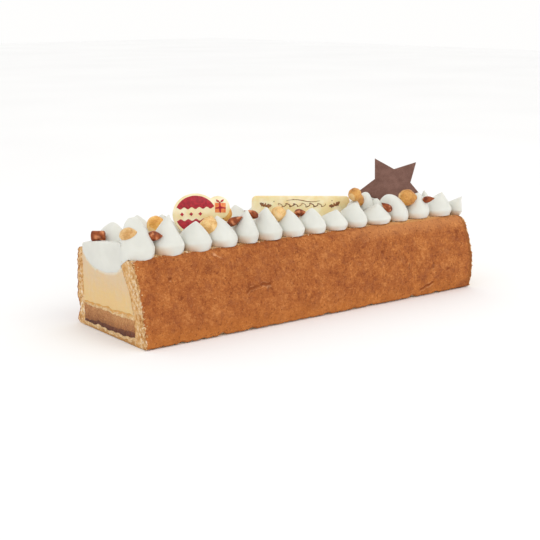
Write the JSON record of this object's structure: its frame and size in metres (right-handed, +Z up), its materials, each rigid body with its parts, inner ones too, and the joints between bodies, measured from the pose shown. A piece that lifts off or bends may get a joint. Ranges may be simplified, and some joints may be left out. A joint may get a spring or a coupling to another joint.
{
  "type": "yule log cake",
  "caption": "Long festive log cake with sponge walls, layered mousse, rows of piped cream, nuts, chocolate chips, a star and plaques.",
  "frame": {"origin": "middle of the log's footprint, on the surface it rests on", "axes": "+X along the log towards the end that is far from the viewer, -Y towards the long side that the viewer sees, +Z up"},
  "size_m": [0.32, 0.1065, 0.1058],
  "materials": {
    "golden_sponge": "browned sponge, matte and slightly velvety",
    "pale_sponge": "cut sponge, matte",
    "whipped_cream": "smooth whipped cream, satin",
    "vanilla_mousse": "cut mousse, satin",
    "praline_mousse": "cut mousse, satin",
    "dark_chocolate": "cut chocolate filling, satin",
    "hazelnut": "roasted nut, satin",
    "milk_chocolate": "dusted chocolate plate, matte",
    "glossy_chip": "glossy chocolate",
    "white_chocolate": "smooth white chocolate, satin"
  },
  "bodies": {
    "root": {"sponge_near": "golden_sponge", "sponge_far": "golden_sponge", "base_sponge": "pale_sponge", "chocolate_layer": "dark_chocolate", "praline_mousse": "praline_mousse", "divider_sponge": "pale_sponge", "vanilla_mousse": "vanilla_mousse", "cream_bed": "whipped_cream", "cream_drop_near_01": "whipped_cream", "cream_drop_near_02": "whipped_cream", "cream_drop_near_03": "whipped_cream", "cream_drop_near_04": "whipped_cream", "cream_drop_near_05": "whipped_cream", "cream_drop_near_06": "whipped_cream", "cream_drop_near_07": "whipped_cream", "cream_drop_near_08": "whipped_cream", "cream_drop_near_09": "whipped_cream", "cream_drop_near_10": "whipped_cream", "cream_drop_near_11": "whipped_cream", "cream_drop_near_12": "whipped_cream", "cream_drop_near_13": "whipped_cream", "cream_drop_near_14": "whipped_cream", "cream_drop_near_15": "whipped_cream", "cream_drop_far_01": "whipped_cream", "cream_drop_far_02": "whipped_cream", "cream_drop_far_03": "whipped_cream", "cream_drop_far_04": "whipped_cream", "cream_drop_far_05": "whipped_cream", "cream_drop_far_06": "whipped_cream", "cream_drop_far_07": "whipped_cream", "cream_drop_far_08": "whipped_cream", "cream_drop_far_09": "whipped_cream", "cream_drop_far_10": "whipped_cream", "cream_drop_far_11": "whipped_cream", "cream_drop_far_12": "whipped_cream", "cream_drop_far_13": "whipped_cream", "cream_drop_far_14": "whipped_cream", "hazelnut_01": "hazelnut", "hazelnut_02": "hazelnut", "hazelnut_03": "hazelnut", "hazelnut_04": "hazelnut", "hazelnut_05": "hazelnut", "hazelnut_06": "hazelnut", "hazelnut_07": "hazelnut", "hazelnut_08": "hazelnut", "hazelnut_09": "hazelnut", "hazelnut_10": "hazelnut", "chocolate_chip_01": "glossy_chip", "chocolate_chip_02": "glossy_chip", "chocolate_chip_03": "glossy_chip", "chocolate_chip_04": "glossy_chip", "chocolate_chip_05": "glossy_chip", "chocolate_chip_06": "glossy_chip", "chocolate_chip_07": "glossy_chip", "chocolate_chip_08": "glossy_chip", "chocolate_chip_09": "glossy_chip", "chocolate_star": "milk_chocolate", "message_plaque": "white_chocolate", "festive_plaque": "white_chocolate"}
  },
  "joints": []
}
